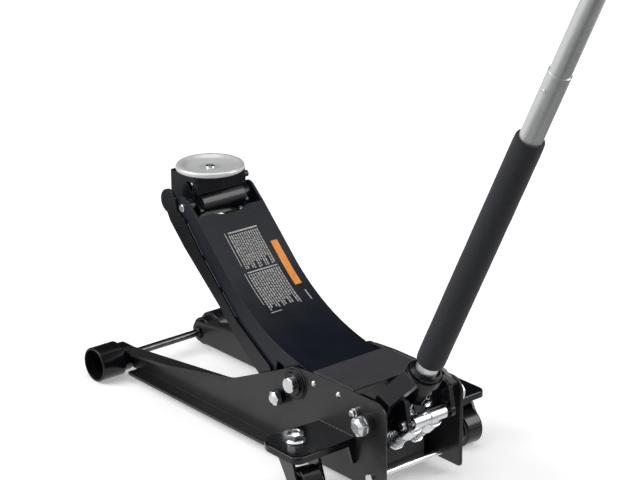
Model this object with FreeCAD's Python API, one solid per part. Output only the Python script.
import FreeCAD, Part
import math
import os

# Trolley jack. Millimetres, +X forward (handle to saddle), +Y left, +Z up, floor at z = 0.
# Dimensions are measured from the front axle (x = 0); emit() moves every piece by SHIFT_X,
# which puts the origin halfway along the jack with its handle fitted.
# Points named without a y are (x, z). Left-hand pieces are modelled and mirrored.

Vector = FreeCAD.Vector
os.makedirs("parts", exist_ok=True)

SHIFT_X = 601.81
CLEARANCE = 0.05                  # radial running clearance
UP = (0, 0, 1)
LEFT = (0, 1, 0)
RIGHT = (0, -1, 0)
BACK = (-1, 0, 0)

# ---- driving dimensions ----
WHEEL_R = 33.0                    # front wheels and caster wheels
AXLE_Z = WHEEL_R
FRONT_AXLE = (0, AXLE_Z)
AXLE_R = 7.0
SHOULDER_R, SHOULDER_Y = 27.0, 90.0   # inboard shoulder of the front wheel

WEB_IN, WEB_OUT = 82.0, 87.0      # side plate web
FLANGE_Y = 115.0                  # edge of the outward flanges
BOSS_Y = 103.0                    # face of the boss round the yoke pivot
PLATE_BOTTOM, PLATE_TOP = 13.0, 175.0
PLATE_REAR = -731.0
NOSE_TOP = 55.0                   # top of the side plate at its front end

TIE_ROD, TIE_ROD_R = (-694, 33.5), 5.0
SIDE_BOLT, SIDE_BOLT_R = (-658, 141), 4.0
RIVETS, RIVET_R = ((-548, 156), (-612, 157)), 4.0

LIFT_PIVOT, LIFT_PIVOT_R = (-500.0, 141.0), 14.0
HEAD_PIN, HEAD_PIN_R = (-175.0, 369.0), 7.0     # at rest
ROD_OFFSET = (36.0, -35.0)        # radius rod ends, from the lift pivot and the head pin
ROD_BOLT = (LIFT_PIVOT[0] + ROD_OFFSET[0], LIFT_PIVOT[1] + ROD_OFFSET[1])
ROD_PIN = (HEAD_PIN[0] + ROD_OFFSET[0], HEAD_PIN[1] + ROD_OFFSET[1])
ROD_BOLT_R, ROD_PIN_R = 8.0, 6.0

ARM_Y, ARM_T = 76.0, 5.0          # outside and wall of the arm channel
ARM_INSIDE_Y = ARM_Y - ARM_T
BAR_Y = 80.5                      # outside of the side bars
SKIN_FRONT = (-214.0, 361.0)      # front edge of the top skin
SKIN_BEND, SKIN_BEND_R = (-374.5, 203.2), 380.0
SKIN_REAR = (-531.0, 164.3)       # rear edge of the top skin
SKIN_NORMAL = (-0.7010, 0.7131)   # up-facing normal of the straight front skin

CRANK_LENGTH = 60.0               # lift pivot to ram pin
CRANK_ANGLE = math.radians(15.75)     # ahead of straight down, at rest
CRANK_PIN = (LIFT_PIVOT[0] + CRANK_LENGTH * math.sin(CRANK_ANGLE),
             LIFT_PIVOT[1] - CRANK_LENGTH * math.cos(CRANK_ANGLE))
CRANK_PIN_R = 7.0
RAM_Z, RAM_R = 85.0, 14.0
BLOCK_FRONT = -600.0              # front face of the pump block

SADDLE_X, SADDLE_Z, SADDLE_R = -158.0, 433.0, 62.3
SADDLE_STEM_R, SADDLE_SCREW_R = 15.0, 4.0

YOKE_PIVOT, YOKE_BOLT_R = (-691.0, 133.0), 10.0
ROLLER, ROLLER_R, ROLLER_PIN_R = (-736.0, 133.0), 12.0, 6.0   # at rest
PUMP_AXIS = (math.sqrt(0.5), -math.sqrt(0.5))   # forward and down
PLUNGER_Y, PLUNGER_R, PLUNGER_BORE_R = 22.0, 9.0, 9.05
PUMP_GAP = 2.4                    # roller to plunger cap, at rest
CUP_R, CUP_LENGTH = 17.0, 25.6    # spring cup on the plunger
GLAND_FACE = 80.6                 # along the pump axis from the roller

HANDLE_LEAN = 26.3                # degrees back from upright, at rest
LOWER_TUBE_R, UPPER_TUBE_R = 19.05, 17.45
FOAM_R = 24.5
JOINT_Z = 722.0                   # upper end of the lower tube, up the handle
HANDLE_TOP = 1200.0
BUTTON_Z = 690.0
BUTTON_HOLE_R = 3.9
SET_BOLT_Z, SET_BOLT_R = 41, 4.0

CASTER_X, CASTER_Y = -600.0, 170.0    # caster swivel axis
KING_BOLT_R = 8.0
TRAIL = 45.0
CASTER_AXLE = (-TRAIL, AXLE_Z)    # from the swivel axis
CASTER_AXLE_R = 5.0
FORK_IN, FORK_OUT = 21, 26        # faces of the fork legs
CASTER_SWIVELS = (("left", -14.0), ("right", 0.0))    # the left one rests turned outward
WING_Z, WING_Y, WING_T = 94.0, 215.5, 5   # caster bracket


# ---- helpers ----
def emit(name, *shapes):
    """Write the solids of the shapes as one STEP file."""
    solids = []
    for shape in shapes:
        moved = shape.copy()
        moved.translate(Vector(SHIFT_X, 0, 0))
        solids.extend(moved.Solids)
    piece = solids[0] if len(solids) == 1 else Part.makeCompound(solids)
    piece.exportStep("parts/%s.step" % name)


def box(x0, x1, y0, y1, z0, z1):
    return Part.makeBox(x1 - x0, y1 - y0, z1 - z0, Vector(x0, y0, z0))


def cyl(start, direction, radius, length):
    return Part.makeCylinder(radius, length, Vector(*start), Vector(*direction))


def xcyl(radius, x0, x1):
    """Cylinder on the ram axis."""
    return cyl((x0, 0, RAM_Z), (1, 0, 0), radius, x1 - x0)


def ycyl(centre, radius, y0, y1):
    return cyl((centre[0], y0, centre[1]), LEFT, radius, y1 - y0)


def zcyl(radius, z0, z1, x=0, y=0):
    return cyl((x, y, z0), UP, radius, z1 - z0)


def slant_cyl(origin, start, end, radius, y=0.0):
    """Cylinder along the pump axis, between two distances from an (x, z) origin."""
    base = (origin[0] + PUMP_AXIS[0] * start, y, origin[1] + PUMP_AXIS[1] * start)
    return cyl(base, (PUMP_AXIS[0], 0, PUMP_AXIS[1]), radius, end - start)


def yring(centre, outer, inner, y0, y1):
    return ycyl(centre, outer, y0, y1).cut(ycyl(centre, inner, y0 - 1, y1 + 1))


def mirrored(shape):
    return shape.mirror(Vector(0, 0, 0), Vector(0, 1, 0))


def span(side, y_in, y_out):
    """The y range between two distances from the centre plane, on side 1 or -1."""
    return sorted((side * y_in, side * y_out))


def fuse(first, *rest):
    return first.fuse(list(rest)).removeSplitter()


def unit(start, end):
    run, rise = end[0] - start[0], end[1] - start[1]
    length = math.hypot(run, rise)
    return run / length, rise / length


def rounded_corner(before, corner, after):
    """Start, middle and end of the corner's arc; the middle is None where it stays sharp."""
    point = (corner[0], corner[1])
    radius = corner[2] if len(corner) > 2 else 0.0
    sharp = (point, None, point)
    if radius <= 0:
        return sharp
    back, ahead = unit(corner, before), unit(corner, after)
    angle = math.acos(max(-1, min(1, back[0] * ahead[0] + back[1] * ahead[1])))
    if abs(angle - math.pi) < 1e-3:
        return sharp
    bisector = unit((0, 0), (back[0] + ahead[0], back[1] + ahead[1]))

    def offset(direction, distance):
        return (point[0] + direction[0] * distance, point[1] + direction[1] * distance)

    tangent = radius / math.tan(angle / 2)
    middle = offset(bisector, radius / math.sin(angle / 2) - radius)
    return offset(back, tangent), middle, offset(ahead, tangent)


def outline_face(points, to_3d):
    """Face from (a, b, radius) corners; a corner without a radius is sharp."""
    count = len(points)
    corners = [rounded_corner(points[i - 1], points[i], points[(i + 1) % count])
               for i in range(count)]
    edges = []
    for i, (start, middle, end) in enumerate(corners):
        if middle is not None:
            edges.append(Part.Arc(to_3d(*start), to_3d(*middle), to_3d(*end)).toShape())
        following = corners[(i + 1) % count][0]
        if math.hypot(following[0] - end[0], following[1] - end[1]) > 1e-6:
            edges.append(Part.LineSegment(to_3d(*end), to_3d(*following)).toShape())
    return Part.Face(Part.Wire(edges))


def prism_xz(points, y0, y1):
    return outline_face(points, lambda x, z: Vector(x, y0, z)).extrude(Vector(0, y1 - y0, 0))


def prism_xy(points, z0, z1):
    return outline_face(points, lambda x, y: Vector(x, y, z0)).extrude(Vector(0, 0, z1 - z0))


def prism_yz(points, x0, x1):
    return outline_face(points, lambda y, z: Vector(x0, y, z)).extrude(Vector(x1 - x0, 0, 0))


def revolve_y(points, centre):
    """Turn (radius, y, corner radius) points about the lateral axis through centre."""
    x, z = centre
    face = outline_face(points, lambda radius, y: Vector(x + radius, y, z))
    return face.revolve(Vector(x, 0, z), Vector(0, 1, 0), 360)


def revolve_z(points, x=0, y=0):
    """Turn (radius, z, corner radius) points about the upright axis through (x, y)."""
    face = outline_face(points, lambda radius, z: Vector(x + radius, y, z))
    return face.revolve(Vector(x, y, 0), Vector(0, 0, 1), 360)


def hex_head(start, direction, across_flats, height, turn=0.0):
    """Hexagonal head with its corners broken by a cone, from start along direction."""
    radius = across_flats / math.sqrt(3)
    angles = [math.radians(60 * i + turn) for i in range(7)]
    points = [Vector(radius * math.cos(a), radius * math.sin(a), 0) for a in angles]
    body = Part.Face(Part.makePolygon(points)).extrude(Vector(0, 0, height))
    bevel = min(0.16 * across_flats, 0.4 * height)
    cone = Part.makeCone(radius, radius - bevel * 1.75, bevel, Vector(0, 0, height - bevel))
    body = body.common(fuse(Part.makeCylinder(radius, height - bevel), cone))
    turn_to = FreeCAD.Rotation(Vector(0, 0, 1), Vector(*direction))
    body.Placement = FreeCAD.Placement(Vector(*start), turn_to)
    return body


def link_outline(start, end, start_half, end_half):
    """Straight bar outline between two (x, z) points, given its half widths."""
    x, z = unit(start, end)
    return [(centre[0] - side * z * half, centre[1] + side * x * half)
            for centre, half, side in ((start, start_half, 1), (start, start_half, -1),
                                       (end, end_half, -1), (end, end_half, 1))]


def near(value, target):
    return abs(value - target) < 0.01


def is_rim(edge, over=0):
    """A circular edge with a radius above the given one."""
    return edge.Curve.TypeId == "Part::GeomCircle" and edge.Curve.Radius > over


def dress(shape, make, size, edges):
    """Fillet or chamfer; guards against the kernel refusing, and then keeps the shape."""
    if not edges:
        return shape
    try:
        dressed = make(size, edges)
        return dressed if dressed.isValid() and dressed.Volume > 0 else shape
    except Exception:
        return shape


def soften(shape, radius, pick):
    """Fillet the edges chosen by pick."""
    return dress(shape, shape.makeFillet, radius, [e for e in shape.Edges if pick(e)])


def chamfer_rims(shape, size):
    return dress(shape, shape.makeChamfer, size, [e for e in shape.Edges if is_rim(e)])


def from_handle(shape):
    """From the handle frame (origin on the yoke pivot, +Z up the handle) to the jack."""
    placed = shape.copy()
    placed.rotate(Vector(0, 0, 0), Vector(0, 1, 0), -HANDLE_LEAN)
    placed.translate(Vector(YOKE_PIVOT[0], 0, YOKE_PIVOT[1]))
    return placed


# ---- side plates ----
WEB_OUTLINE = [    # x, z, corner radius
    (-21, NOSE_TOP), (-322, 91, 90), (-500, 171, 100), (-560, PLATE_TOP),
    (PLATE_REAR, PLATE_TOP, 24), (PLATE_REAR, PLATE_BOTTOM, 8), (-21, PLATE_BOTTOM)]
TOP_FLANGE_SIDE = [    # x, z, corner radius
    (-12, NOSE_TOP), (-322, 91, 90), (-336, 97.4), (-336, 91.9), (-322, 85.5, 90), (-12, 49.5)]
TOP_FLANGE_PLAN = [    # x, y, corner radius
    (-13, 80), (-13, 89.5), (-24, 89.5), (-24, 108, 4), (-40, 108, 3), (-48, FLANGE_Y, 6),
    (-165, FLANGE_Y, 120), (-322, WEB_OUT), (-330, 80)]
LOWER_FLANGE_PLAN = [    # x, y, corner radius
    (-38, 84), (-38, FLANGE_Y, 5), (-524, FLANGE_Y, 30), (-534, WEB_OUT), (-534, 84)]
PLATE_HOLES = [    # centre, pin radius
    (FRONT_AXLE, AXLE_R), (LIFT_PIVOT, LIFT_PIVOT_R), (ROD_BOLT, ROD_BOLT_R),
    (YOKE_PIVOT, YOKE_BOLT_R), (SIDE_BOLT, SIDE_BOLT_R), (TIE_ROD, TIE_ROD_R),
    (RIVETS[0], RIVET_R), (RIVETS[1], RIVET_R)]


def is_inner_web_edge(edge):
    """A long edge on the inner face of the web."""
    bounds = edge.BoundBox
    return (near(bounds.YMin, WEB_IN) and near(bounds.YMax, WEB_IN) and bounds.XMax > -690
            and bounds.XMin > PLATE_REAR - 1 and bounds.XLength > 25)


def side_plate():
    web = fuse(prism_xz(WEB_OUTLINE, WEB_IN, WEB_OUT), ycyl((0, 34), 21, WEB_IN, WEB_OUT),
               box(-21.5, 0, WEB_IN, WEB_OUT, PLATE_BOTTOM, NOSE_TOP))
    web = soften(web, 3.5, is_inner_web_edge)
    top_flange = prism_xz(TOP_FLANGE_SIDE, WEB_OUT - 1, FLANGE_Y)
    top_flange = top_flange.common(prism_xy(TOP_FLANGE_PLAN, 0, 200))
    lower_flange = prism_xy(LOWER_FLANGE_PLAN, PLATE_BOTTOM, PLATE_BOTTOM + 5)
    plate = fuse(web, top_flange, lower_flange, ycyl(YOKE_PIVOT, 18, WEB_OUT, BOSS_Y))
    for centre, radius in PLATE_HOLES:
        plate = plate.cut(ycyl(centre, radius + CLEARANCE, WEB_IN - 5, BOSS_Y + 5))
    return plate


# ---- front axle and wheels ----
WHEEL_PROFILE = [    # radius, y, corner radius
    (AXLE_R + CLEARANCE, SHOULDER_Y), (SHOULDER_R, SHOULDER_Y, 2), (SHOULDER_R, 111.0),
    (WHEEL_R, 111.0, 2), (WHEEL_R, 163.0, 2), (28.8, 163.0, 1), (27.6, 127, 5),
    (13, 127, 2), (12, 135, 1), (AXLE_R + CLEARANCE, 135)]


def front_axle():
    return chamfer_rims(ycyl(FRONT_AXLE, AXLE_R, -139, 139), 1.0)


def wheel_spacers():
    return yring(FRONT_AXLE, 13, AXLE_R + CLEARANCE, WEB_OUT, SHOULDER_Y - 0.4)


def axle_inner_nuts():
    nut = hex_head((0, WEB_IN, AXLE_Z), RIGHT, across_flats=21, height=7)
    return nut.cut(ycyl(FRONT_AXLE, AXLE_R, 60, 100))


def axle_end_washers():
    return yring(FRONT_AXLE, 12, AXLE_R, 135.6, 138)


def front_wheel():
    return revolve_y(WHEEL_PROFILE, FRONT_AXLE)


# ---- cross members ----
COVER_UNDERSIDE = 172
COVER_SECTION = [    # y, z, corner radius
    (-82, 148), (-79, 148), (-79, COVER_UNDERSIDE, 1.5), (79, COVER_UNDERSIDE, 1.5),
    (79, 148), (82, 148), (82, PLATE_TOP, 3), (-82, PLATE_TOP, 3)]


def rear_tie_rod():
    head_r, head_y = 8.5, 92
    tie = fuse(ycyl(TIE_ROD, TIE_ROD_R, -head_y, head_y), ycyl(TIE_ROD, head_r, WEB_OUT, head_y),
               ycyl(TIE_ROD, head_r, -head_y, -WEB_OUT))
    return soften(tie, 1.6, lambda e: is_rim(e) and near(abs(e.BoundBox.YMin), head_y))


def cover_plate():
    cover = prism_yz(COVER_SECTION, -644, -541)
    for side in (-1, 1):
        for rivet in RIVETS:
            cover = cover.cut(ycyl(rivet, RIVET_R + CLEARANCE, *span(side, 70, 90)))
    return soften(cover, 1.0, lambda e: near(e.BoundBox.ZMin, PLATE_TOP)
                  and e.BoundBox.YLength > 100)


def cover_rivets():
    rivets = []
    for x, z in RIVETS:
        shank = ycyl((x, z), RIVET_R, 79, WEB_OUT)
        dome = Part.makeSphere(6.2, Vector(x, WEB_OUT - 2.6, z))
        head = dome.common(ycyl((x, z), 6.0, WEB_OUT, WEB_OUT + 4))
        rivet = fuse(shank, head, ycyl((x, z), 5.6, 77, 79))
        rivets += [rivet, mirrored(rivet)]
    return Part.makeCompound(rivets)


def rear_cross_plate():
    top = 19
    plan = prism_xy([(-674, -82), (-556, -82), (-556, 82), (-674, 82)], PLATE_BOTTOM, top)
    return plan.common(prism_xz([(-662, PLATE_BOTTOM), (-668, top), (-556, top),
                                 (-556, PLATE_BOTTOM)], -90, 90))


# ---- lift pivot and side bolts ----
def lift_pivot_shaft():
    return chamfer_rims(ycyl(LIFT_PIVOT, LIFT_PIVOT_R, -105, 105), 1.4)


def pivot_collars():
    step_y, outer_y = 92, 97
    collar = fuse(yring(LIFT_PIVOT, 27, LIFT_PIVOT_R, WEB_OUT, step_y),
                  yring(LIFT_PIVOT, 21, LIFT_PIVOT_R, step_y, outer_y))
    return soften(collar, 1.5, lambda e: is_rim(e, 20.5) and e.BoundBox.YMin > 90)


ROD_BOLT_HEAD_Y = 101


def radius_rod_bolts():
    head = hex_head((ROD_BOLT[0], ROD_BOLT_HEAD_Y, ROD_BOLT[1]), LEFT,
                    across_flats=24, height=10, turn=12)
    return fuse(ycyl(ROD_BOLT, ROD_BOLT_R, 45, ROD_BOLT_HEAD_Y), head)


def radius_bolt_spacers():
    return fuse(yring(ROD_BOLT, 13, ROD_BOLT_R, WEB_OUT, 98),
                yring(ROD_BOLT, 15, ROD_BOLT_R, 98, ROD_BOLT_HEAD_Y))


def radius_bolt_nuts():
    nut = hex_head((ROD_BOLT[0], 54.5, ROD_BOLT[1]), RIGHT, across_flats=24, height=8)
    return nut.cut(ycyl(ROD_BOLT, ROD_BOLT_R, 30, 70))


def yoke_pivot_bolts():
    head_y = BOSS_Y + 1.5
    head = hex_head((YOKE_PIVOT[0], head_y, YOKE_PIVOT[1]), LEFT,
                    across_flats=30, height=14.5, turn=20)
    return fuse(ycyl(YOKE_PIVOT, YOKE_BOLT_R, 43, BOSS_Y),
                ycyl(YOKE_PIVOT, 16.5, BOSS_Y, head_y), head)


def side_stop_bolts():
    head_y = 93
    head = hex_head((SIDE_BOLT[0], head_y, SIDE_BOLT[1]), LEFT,
                    across_flats=13, height=7, turn=8)
    return fuse(ycyl(SIDE_BOLT, SIDE_BOLT_R, 78, 94),
                yring(SIDE_BOLT, 8.5, 3, WEB_OUT, head_y), head)


# ---- caster brackets and king bolts ----
WING_REAR = -656
WING_PLAN = [    # x, y, corner radius
    (-560, WEB_OUT), (-549, WING_Y, 34), (WING_REAR, WING_Y, 15), (WING_REAR, WEB_OUT)]
WING_HOLLOW = [    # x, y, corner radius
    (-565.2, WEB_OUT - 2), (-554.3, WING_Y - WING_T, 29),
    (WING_REAR + WING_T, WING_Y - WING_T, 10), (WING_REAR + WING_T, WEB_OUT - 2)]
GUSSET = [(WEB_OUT, 84), (103, 84), (93, 48, 4), (WEB_OUT, 48)]    # y, z, corner radius


def caster_bracket():
    wing = prism_xy(WING_PLAN, WING_Z - 12, WING_Z)
    wing = wing.cut(prism_xy(WING_HOLLOW, WING_Z - 20, WING_Z - WING_T))
    wing = soften(wing, 4.2, lambda e: near(e.BoundBox.ZMin, WING_Z)
                  and e.BoundBox.YMax > WEB_OUT + 1)
    wing = fuse(wing, prism_yz(GUSSET, WING_REAR, WING_REAR + WING_T))
    return wing.cut(zcyl(KING_BOLT_R + CLEARANCE, 60, 120, CASTER_X, CASTER_Y))


def caster_king_bolts():
    bottom, top = 68.5, 111.0
    bolt = fuse(zcyl(KING_BOLT_R, bottom, top, CASTER_X, CASTER_Y),
                zcyl(13.0, bottom, bottom + 6, CASTER_X, CASTER_Y))
    return soften(bolt, 1.2, lambda e: near(e.BoundBox.ZMin, top))


def caster_king_nuts():
    nut = hex_head((CASTER_X, CASTER_Y, WING_Z + 3.5), UP,
                   across_flats=27, height=15.0, turn=17)
    flange = revolve_z([(KING_BOLT_R, WING_Z), (18.0, WING_Z, 0.6), (18.0, WING_Z + 2.2, 0.6),
                        (15.0, WING_Z + 5), (KING_BOLT_R, WING_Z + 5)], CASTER_X, CASTER_Y)
    return fuse(nut.cut(zcyl(KING_BOLT_R, 80, 140, CASTER_X, CASTER_Y)), flange)


# ---- casters: swivel axis at the origin, trailing to -X ----
CROWN_Z, CROWN_T = 75, 6
CROWN_TOP = CROWN_Z + CROWN_T
CROWN_PLAN = [(-38, -FORK_OUT), (20, -FORK_OUT), (20, FORK_OUT), (-38, FORK_OUT)]
FORK_LEG = [    # x, z, corner radius
    (20, CROWN_TOP), (20, 71, 6), (-TRAIL + 13, 24), (-TRAIL, AXLE_Z - 13.5),
    (-TRAIL - 13.5, 24), (-TRAIL - 14, 44, 10), (-38, CROWN_TOP)]
CASTER_BORE_R = CASTER_AXLE_R + CLEARANCE
CASTER_WHEEL_PROFILE = [    # radius, y, corner radius
    (CASTER_BORE_R, -20), (14, -20, 1), (14, -17, 1), (21, -15.5, 3), (26, -18, 2),
    (WHEEL_R, -18, 3), (WHEEL_R, 18, 3), (26, 18, 2), (21, 15.5, 3), (14, 17, 1),
    (14, 20, 1), (CASTER_BORE_R, 20)]


def caster_fork():
    fork = zcyl(25, CROWN_Z, 88.8).fuse(prism_xy(CROWN_PLAN, CROWN_Z, CROWN_TOP))
    for side in (1, -1):
        leg_y = span(side, FORK_IN, FORK_OUT)
        fork = fork.fuse([prism_xz(FORK_LEG, *leg_y), ycyl(CASTER_AXLE, 14.5, *leg_y)])
    fork = fork.removeSplitter().cut(zcyl(KING_BOLT_R + CLEARANCE, 70, 100))
    fork = fork.cut(ycyl(CASTER_AXLE, CASTER_BORE_R, -40, 40))
    return soften(fork, 1.5, lambda e: near(e.BoundBox.ZMin, CROWN_TOP))


def caster_axle():
    nut_y, head_y = 27, -29
    return fuse(ycyl(CASTER_AXLE, CASTER_AXLE_R, head_y, nut_y),
                hex_head((-TRAIL, nut_y, AXLE_Z), LEFT, across_flats=16, height=7),
                yring(CASTER_AXLE, 9, 4.5, FORK_OUT, nut_y + 0.2),
                ycyl(CASTER_AXLE, 8.0, head_y, -FORK_OUT))


def caster_wheel():
    return revolve_y(CASTER_WHEEL_PROFILE, CASTER_AXLE)


def emit_casters():
    for side, swivel in CASTER_SWIVELS:
        for build in (caster_fork, caster_axle, caster_wheel):
            shape = build()
            y = CASTER_Y
            if side == "right":
                shape = mirrored(shape)
                y = -CASTER_Y
            shape.rotate(Vector(0, 0, 0), Vector(0, 0, 1), swivel)
            shape.translate(Vector(CASTER_X, y, 0))
            emit("%s_%s" % (side, build.__name__), shape)


# ---- lift arm ----
TOP_SKIN = [SKIN_REAR, SKIN_BEND + (SKIN_BEND_R,)]
ARM_OUTLINE = [    # x, z, corner radius
    SKIN_FRONT, (HEAD_PIN[0] - 14.1, HEAD_PIN[1] + 14.1),
    (HEAD_PIN[0] + 14.1, HEAD_PIN[1] - 14.1), (-185, 301, 20), (-286, 217, 60),
    (-325, 174, 200), (-373, 138, 60), (-428, 100, 10), (-500, 112), (-534, 140, 12)] + TOP_SKIN
ABOVE_SKIN = [(-620, 142.1)] + TOP_SKIN + [
    SKIN_FRONT, (SKIN_FRONT[0] + 80, SKIN_FRONT[1] + 60), (-150, 500), (-620, 500)]
BAR_OUTLINE = [    # x, z, corner radius
    (-150, 390, 6), (-161, 372, 6), (-164, 361, 4), (-184, 349, 10), (-233, 293), (-281, 247),
    (-334, 197, 120), (-376, 172), (-427, 141, 10), (-412, 108, 10), (-372, 135),
    (-325, 171, 160), (-285, 212, 60), (-182.5, 298), (-142, 338, 5), (-134, 352, 8),
    (-124, 362), (-130, 388)]


def skin_point(ahead, above):
    """Point set off from the front edge of the top skin, along it and square to it."""
    return (SKIN_FRONT[0] + SKIN_NORMAL[0] * above + SKIN_NORMAL[1] * ahead,
            SKIN_FRONT[1] + SKIN_NORMAL[1] * above - SKIN_NORMAL[0] * ahead)


def arm_body():
    body = prism_xz(ARM_OUTLINE, -ARM_Y, ARM_Y)
    body = fuse(body, ycyl(HEAD_PIN, 20, -ARM_Y, ARM_Y), ycyl(LIFT_PIVOT, 36, -ARM_Y, ARM_Y))
    # nothing of the pivot disc stands above the top skin
    above = prism_xz(ABOVE_SKIN, -100, 100)
    return body.cut(above.common(box(-620, -430, -100, 100, 100, 500)))


def arm_slot():
    """Ring sector about the lift pivot, angles in degrees up from +X."""
    start, end, steps, reach = -112, 17, 8, 140
    points = [LIFT_PIVOT]
    for i in range(steps + 1):
        angle = math.radians(start + (end - start) * i / steps)
        points.append((LIFT_PIVOT[0] + reach * math.cos(angle),
                       LIFT_PIVOT[1] + reach * math.sin(angle)))
    return yring(LIFT_PIVOT, 65.0, 37.0, -100, 100).common(prism_xz(points, -100, 100))


def is_skin_edge(edge):
    """A long edge where the top skin meets an outer face of the channel."""
    bounds = edge.BoundBox
    return (near(abs(bounds.YMin), ARM_Y) and near(bounds.YLength, 0)
            and bounds.ZMax > 200 and bounds.XMin > -545 and bounds.XLength > 60
            and bounds.ZMin > 164
            and bounds.Center.z > (bounds.Center.x - SKIN_FRONT[0]) * 0.95 + 340)


def lift_arm_channel():
    cavity = prism_xz([
        skin_point(120, -ARM_T), skin_point(0, -ARM_T),
        (SKIN_BEND[0] + 2.0, SKIN_BEND[1] - 6.0, SKIN_BEND_R - ARM_T),
        (SKIN_REAR[0] + 1.2, SKIN_REAR[1] - ARM_T), (-560, 152), (-560, 20), (-60, 20),
        (-60, 440)], -ARM_INSIDE_Y, ARM_INSIDE_Y)
    front_opening = prism_xz([skin_point(0, -30), skin_point(0, 60), skin_point(120, 60),
                              skin_point(120, -30)], -ARM_INSIDE_Y, ARM_INSIDE_Y)
    channel = arm_body().cut(cavity).cut(front_opening)
    # shallow hollow in the front edge of the skin
    x, z = skin_point(87, -20)
    hollow = cyl((x, 0, z), (SKIN_NORMAL[0], 0, SKIN_NORMAL[1]), 95, 40)
    hollow_y = ARM_INSIDE_Y - 3
    channel = channel.cut(hollow.common(box(-400, 0, -hollow_y, hollow_y, 200, 500)))
    channel = channel.cut(arm_slot())
    bosses = [yring(HEAD_PIN, 13, 6.9, *span(side, 56, ARM_INSIDE_Y + 0.5)) for side in (1, -1)]
    channel = fuse(channel, *bosses)
    channel = channel.cut(ycyl(HEAD_PIN, HEAD_PIN_R, -100, 100))
    channel = channel.cut(ycyl(LIFT_PIVOT, LIFT_PIVOT_R + CLEARANCE, -100, 100))
    return soften(channel, 2.5, is_skin_edge)


def arm_bar():
    bar = fuse(prism_xz(BAR_OUTLINE, ARM_Y, BAR_Y), ycyl((-138, 374), 22, ARM_Y, BAR_Y))
    return bar.cut(ycyl(HEAD_PIN, 8.5, 70, 90))


def arm_pivot_hub():
    lug_y = (14.4, 24.4)
    lug = fuse(prism_xz(link_outline(LIFT_PIVOT, CRANK_PIN, 21, 12.4), *lug_y),
               ycyl(CRANK_PIN, 13, *lug_y), ycyl(LIFT_PIVOT, 22, *lug_y))
    hub = fuse(ycyl(LIFT_PIVOT, 23, -ARM_INSIDE_Y, ARM_INSIDE_Y), lug, mirrored(lug))
    hub = hub.cut(ycyl(LIFT_PIVOT, LIFT_PIVOT_R + CLEARANCE, -100, 100))
    return hub.cut(ycyl(CRANK_PIN, CRANK_PIN_R, -50, 50))


def ram_pin():
    return chamfer_rims(ycyl(CRANK_PIN, CRANK_PIN_R, -27, 27), 0.8)


def head_pin():
    return chamfer_rims(ycyl(HEAD_PIN, HEAD_PIN_R, -79.5, 79.5), 1.0)


# ---- saddle and its head ----
HEAD_TOP, HEAD_UNDERSIDE = 422, 412
CHEEK = [    # x, z, corner radius
    (-112, HEAD_TOP, 2), (-112, 345, 10), (-124, 320), (-139, 320.5, 6), (-153, 322, 4),
    (-204, 360, 8), (-150, 418, 6), (-150, HEAD_TOP)]
HEAD_PLAN = [(-112, -56, 5), (-112, 56, 5), (-196, 56, 12), (-196, -56, 12)]    # x, y, radius
SADDLE_PROFILE = [    # radius, z, corner radius
    (0, 426.2), (12, 426.2), (30, 426.6, 6), (44, 427.6, 8), (53.5, SADDLE_Z, 3),
    (59.6, SADDLE_Z, 2.2), (SADDLE_R, 430.2, 3), (SADDLE_R, 424.6, 1.5), (58, 422.6, 1.5),
    (SADDLE_STEM_R, 422.6), (SADDLE_STEM_R, 391, 1), (0, 391)]


def saddle_head():
    cheek = prism_xz(CHEEK, 46, 54)
    head = fuse(prism_xy(HEAD_PLAN, HEAD_UNDERSIDE, HEAD_TOP), cheek, mirrored(cheek),
                box(-192, -176, -54, 54, 392, 413), zcyl(25, 401, 413, SADDLE_X),
                ycyl(HEAD_PIN, 26, -47, 47), ycyl((-184, 407), 6, -63, -50))
    head = head.cut(zcyl(SADDLE_STEM_R + CLEARANCE, 380, 440, SADDLE_X))
    head = head.cut(ycyl(HEAD_PIN, HEAD_PIN_R + CLEARANCE, -80, 80))
    head = head.cut(ycyl(ROD_PIN, ROD_PIN_R, -80, 80))
    return soften(head, 1.5, lambda e: near(e.BoundBox.ZMin, HEAD_TOP)
                  and e.BoundBox.YLength > 20)


def saddle():
    dish = revolve_z(SADDLE_PROFILE, SADDLE_X)
    return dish.cut(zcyl(SADDLE_SCREW_R, 404, 444, SADDLE_X))


def saddle_screw():
    head = revolve_z([(0, 426.2), (9, 426.2), (8.2, 428.6, 1), (0, 429.6)], SADDLE_X)
    screw = fuse(zcyl(SADDLE_SCREW_R, 404.5, 426.5, SADDLE_X), head)
    return screw.cut(hex_head((SADDLE_X, 0, 427.2), UP, across_flats=5, height=5))


# ---- radius rods ----
def radius_rod_pins():
    outer_y = 67
    pin = fuse(ycyl(ROD_PIN, ROD_PIN_R, 40, outer_y), ycyl(ROD_PIN, 9.0, 42.5, 46),
               ycyl(ROD_PIN, 8.5, 63.8, outer_y))
    return soften(pin, 0.8, lambda e: e.BoundBox.YMin > outer_y - 0.1)


def radius_rod():
    rod_y, half_width = (56, 63.5), 9.0
    rod = fuse(prism_xz(link_outline(ROD_BOLT, ROD_PIN, half_width, half_width), *rod_y),
               ycyl(ROD_BOLT, 15, *rod_y), ycyl(ROD_PIN, 12.5, *rod_y))
    rod = rod.cut(ycyl(ROD_BOLT, ROD_BOLT_R + CLEARANCE, 50, 70))
    return rod.cut(ycyl(ROD_PIN, ROD_PIN_R + CLEARANCE, 50, 70))


# ---- hydraulic unit ----
BLOCK_OUTLINE = [    # x, z, corner radius
    (-672, 19), (-684, 31), (-684, 71), (-647, 108, 3), (BLOCK_FRONT, 108, 3),
    (BLOCK_FRONT, 19)]


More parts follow.
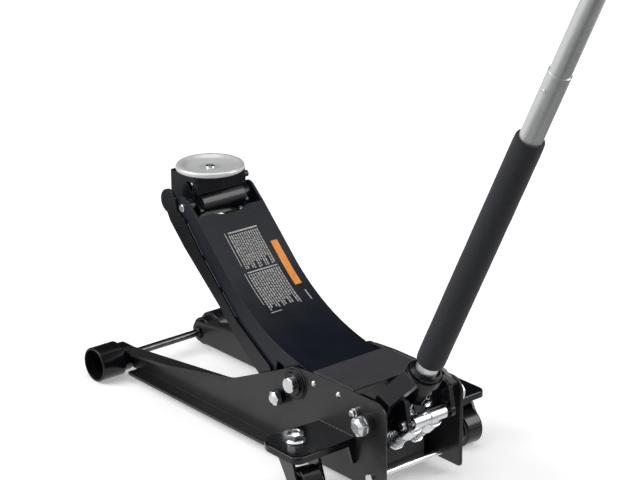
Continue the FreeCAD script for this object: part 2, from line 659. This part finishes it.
def pump_block():
    block = prism_xz(BLOCK_OUTLINE, -42, 42)
    block = soften(block, 2.5, lambda e: e.BoundBox.YLength < 0.01 and e.BoundBox.ZMin > 60)
    for side in (-1, 1):
        block = block.cut(slant_cyl(ROLLER, 60, 146, PLUNGER_BORE_R, side * PLUNGER_Y))
    block = block.cut(xcyl(RAM_R + CLEARANCE, -647, -587))
    return block.cut(slant_cyl(YOKE_PIVOT, 40, 55.2, 4.05))


def ram_cylinder():
    tube = fuse(xcyl(30, BLOCK_FRONT, BLOCK_FRONT + 42), xcyl(23, BLOCK_FRONT, BLOCK_FRONT + 49))
    tube = soften(tube, 2.0, lambda e: is_rim(e) and e.BoundBox.XMin > -560)
    return tube.cut(xcyl(RAM_R + CLEARANCE, -610, -530))


def ram_eye(half_length, half_height, half_width, rear_radius, front_radius):
    """Rounded block about the eye at the front end of the ram."""
    x = CRANK_PIN[0] - 0.53
    return prism_xz([(x - half_length, RAM_Z - half_height, rear_radius),
                     (x + half_length, RAM_Z - half_height, front_radius),
                     (x + half_length, RAM_Z + half_height, front_radius),
                     (x - half_length, RAM_Z + half_height, rear_radius)],
                    -half_width, half_width)


def ram():
    body = fuse(ram_eye(15.5, 18.5, 13.4, 6, 10), xcyl(RAM_R, BLOCK_FRONT, BLOCK_FRONT + 102))
    return body.cut(ram_eye(7.9, 12.6, 30, 7.8, 7.8))


def plunger(side):
    """A cup over the upper end of the spring, on a plain plunger."""
    y = side * PLUNGER_Y
    cap = ROLLER_R + PUMP_GAP
    cup_floor = cap + 13
    cup = slant_cyl(ROLLER, cap, cap + CUP_LENGTH, CUP_R, y)
    cup = cup.cut(slant_cyl(ROLLER, cup_floor, cap + 60, CUP_R - 1.7, y))
    body = fuse(cup, slant_cyl(ROLLER, cup_floor, 112, PLUNGER_R, y))
    return soften(body, 1.2, lambda e: is_rim(e, CUP_R - 0.1) and e.BoundBox.ZMin > 100)


def plunger_glands():
    glands = []
    for y in (-PLUNGER_Y, PLUNGER_Y):
        gland = slant_cyl(ROLLER, GLAND_FACE - 6, GLAND_FACE, 16.5, y)
        gland = gland.cut(slant_cyl(ROLLER, 60, 100, PLUNGER_BORE_R, y))
        glands.append(soften(gland, 1.0, lambda e: is_rim(e, 12)))
    return Part.makeCompound(glands)


def pump_springs():
    start, length, coil_r, wire_r, turns = 29.1, 43.8, 12.6, 1.5, 6
    springs = []
    for y in (-PLUNGER_Y, PLUNGER_Y):
        path = Part.Wire(Part.makeHelix(length / turns, length, coil_r))
        section = Part.Wire(Part.makeCircle(wire_r, Vector(coil_r, 0, 0), Vector(0, 1, 0)))
        coil = path.makePipeShell([section], True, True)
        coil = coil if coil.ShapeType == "Solid" else Part.Solid(coil)
        # from upright to the pump axis
        coil.rotate(Vector(0, 0, 0), Vector(0, 1, 0), 135)
        coil.translate(Vector(ROLLER[0] + PUMP_AXIS[0] * start, y,
                              ROLLER[1] + PUMP_AXIS[1] * start))
        springs.append(coil)
    return Part.makeCompound(springs)


def release_valve_stem():
    cup = soften(slant_cyl(YOKE_PIVOT, -1.0, 15.0, 11.5), 1.0, is_rim)
    cup = cup.cut(Part.makeSphere(8.1, Vector(YOKE_PIVOT[0], 0, YOKE_PIVOT[1])))
    return fuse(cup, slant_cyl(YOKE_PIVOT, 14.0, 54.0, 4.0))


# ---- pump yoke, modelled in the handle frame ----
LEAN = math.radians(HANDLE_LEAN)
YOKE_ROLLER = ((ROLLER[0] - YOKE_PIVOT[0]) * math.cos(LEAN),
               -(ROLLER[0] - YOKE_PIVOT[0]) * math.sin(LEAN))
YOKE_CROSS = [(-6, -53), (31, -53, 6), (31, 53, 6), (-6, 53)]    # x, y, corner radius
YOKE_ARM = [    # distance from the centre plane, z, corner radius
    (24, 87), (33, 87, 4), (76, 51, 4), (76, 16), (67, 16), (67, 45.5, 3), (24, 78)]
OUTER_EAR = [(-16, 49), (17, 49), (17.5, 6), (-17, 6)]    # x, z
INNER_EAR = [    # x, z
    (-24, 60), (24, 60), (17, 2), (8, -15), (-8, -16.5),
    (YOKE_ROLLER[0] - 7, YOKE_ROLLER[1] - 11), (YOKE_ROLLER[0] - 12.5, YOKE_ROLLER[1] + 2),
    (YOKE_ROLLER[0] - 6, YOKE_ROLLER[1] + 12)]


def pump_yoke():
    pivot = (0, 0)
    yoke = fuse(zcyl(31, 75, 88), zcyl(26.5, 59, 75))
    yoke = soften(yoke, 1.5, lambda e: is_rim(e, 30))
    yoke = yoke.fuse(prism_xy(YOKE_CROSS, 53, 60))
    for side in (1, -1):
        outer_y, inner_y = span(side, 67, 76), span(side, 44.5, 53)
        arm = [(side * point[0],) + point[1:] for point in YOKE_ARM]
        yoke = yoke.fuse([
            prism_yz(arm, -16, 17), prism_xz(OUTER_EAR, *outer_y), ycyl(pivot, 18, *outer_y),
            ycyl(pivot, 15, *span(side, 46, 68)), prism_xz(INNER_EAR, *inner_y),
            ycyl(pivot, 18, *inner_y), ycyl(YOKE_ROLLER, 13, *inner_y)])
    yoke = yoke.removeSplitter()
    yoke = yoke.cut(zcyl(23.05, 40, 120))
    yoke = yoke.cut(ycyl(pivot, YOKE_BOLT_R + CLEARANCE, -80, 80))
    return from_handle(yoke.cut(ycyl(YOKE_ROLLER, ROLLER_PIN_R, -80, 80)))


def roller_pin():
    return chamfer_rims(ycyl(ROLLER, ROLLER_PIN_R, -58, 58), 0.8)


def pump_rollers():
    roller = yring(ROLLER, ROLLER_R, ROLLER_PIN_R + CLEARANCE, 0.6, 36)
    return soften(roller, 1.0, lambda e: is_rim(e, 11))


def roller_pin_clips():
    x, z = ROLLER
    clip = yring(ROLLER, 9.5, ROLLER_PIN_R, 53.4, 55.2)
    return clip.cut(box(x - 2.5, x + 2.5, 50, 60, z - 20, z))


# ---- handle, modelled in the handle frame ----
RECEIVER_PROFILE = [    # radius, z, corner radius
    (LOWER_TUBE_R, 32), (23, 32, 1), (23, 88.5), (27.5, 88.5, 0.8), (27.5, 93, 1.2),
    (23.5, 97, 1), (LOWER_TUBE_R, 97)]
FOAM_PROFILE = [    # radius, z, corner radius
    (LOWER_TUBE_R, 114), (23.8, 114, 1.2), (FOAM_R, 118, 3), (FOAM_R, 591, 3),
    (23.8, 595, 1.2), (LOWER_TUBE_R, 595)]


def handle_receiver():
    receiver = revolve_z(RECEIVER_PROFILE)
    return from_handle(receiver.cut(cyl((0, 0, SET_BOLT_Z), BACK, SET_BOLT_R, 40)))


def handle_set_bolt():
    return from_handle(fuse(
        cyl((-LOWER_TUBE_R, 0, SET_BOLT_Z), BACK, SET_BOLT_R, 8),
        hex_head((-24.5, 0, SET_BOLT_Z), BACK, across_flats=13, height=8),
        cyl((-23.3, 0, SET_BOLT_Z), BACK, 8.0, 1.4)))


def button_hole():
    return cyl((0, 0, BUTTON_Z), LEFT, BUTTON_HOLE_R, 30)


def handle_lower_tube():
    tube = zcyl(LOWER_TUBE_R, 36, JOINT_Z).cut(
        zcyl(UPPER_TUBE_R + CLEARANCE, 30, JOINT_Z + 30))
    tube = tube.cut(button_hole())
    return from_handle(soften(tube, 0.5, lambda e: is_rim(e) and near(e.BoundBox.ZMin, JOINT_Z)
                              and e.Curve.Radius > 19))


def foam_sleeve():
    return from_handle(revolve_z(FOAM_PROFILE))


def handle_upper_tube():
    tube = zcyl(UPPER_TUBE_R, 640, HANDLE_TOP)
    tube = soften(tube, 5.0, lambda e: is_rim(e) and e.BoundBox.ZMin > HANDLE_TOP - 1)
    tube = tube.cut(zcyl(UPPER_TUBE_R - 2.0, 600, HANDLE_TOP - 4))
    return from_handle(tube.cut(button_hole()))


def handle_snap_button():
    button = cyl((0, 15.0, BUTTON_Z), LEFT, 3.8, 5.6)
    return from_handle(soften(button, 1.2, lambda e: is_rim(e) and e.Curve.Center.y > 18))


def handle_drive_rod():
    return from_handle(fuse(Part.makeSphere(8.0), zcyl(5.0, 5, 55),
                            zcyl(UPPER_TUBE_R + CLEARANCE, 40, 56)))


# ---- build: every file is named after the function of its piece ----
for build in (front_axle, rear_tie_rod, cover_plate, cover_rivets, rear_cross_plate,
              lift_pivot_shaft, lift_arm_channel, arm_pivot_hub, ram_pin, head_pin,
              saddle_head, saddle, saddle_screw, pump_block, ram_cylinder, ram,
              plunger_glands, pump_springs, release_valve_stem, pump_yoke, roller_pin,
              handle_receiver, handle_set_bolt, handle_lower_tube, foam_sleeve,
              handle_upper_tube, handle_snap_button, handle_drive_rod):
    emit(build.__name__, build())

# a left and a right piece, in two files
for build in (side_plate, front_wheel, caster_bracket, arm_bar, radius_rod):
    left_piece = build()
    emit("left_" + build.__name__, left_piece)
    emit("right_" + build.__name__, mirrored(left_piece))

# both sides in one file
for build in (wheel_spacers, axle_inner_nuts, axle_end_washers, pivot_collars,
              radius_rod_bolts, radius_bolt_spacers, radius_bolt_nuts, yoke_pivot_bolts,
              side_stop_bolts, caster_king_bolts, caster_king_nuts, radius_rod_pins,
              pump_rollers, roller_pin_clips):
    left_piece = build()
    emit(build.__name__, left_piece, mirrored(left_piece))

emit("left_plunger", plunger(1))
emit("right_plunger", plunger(-1))
emit_casters()
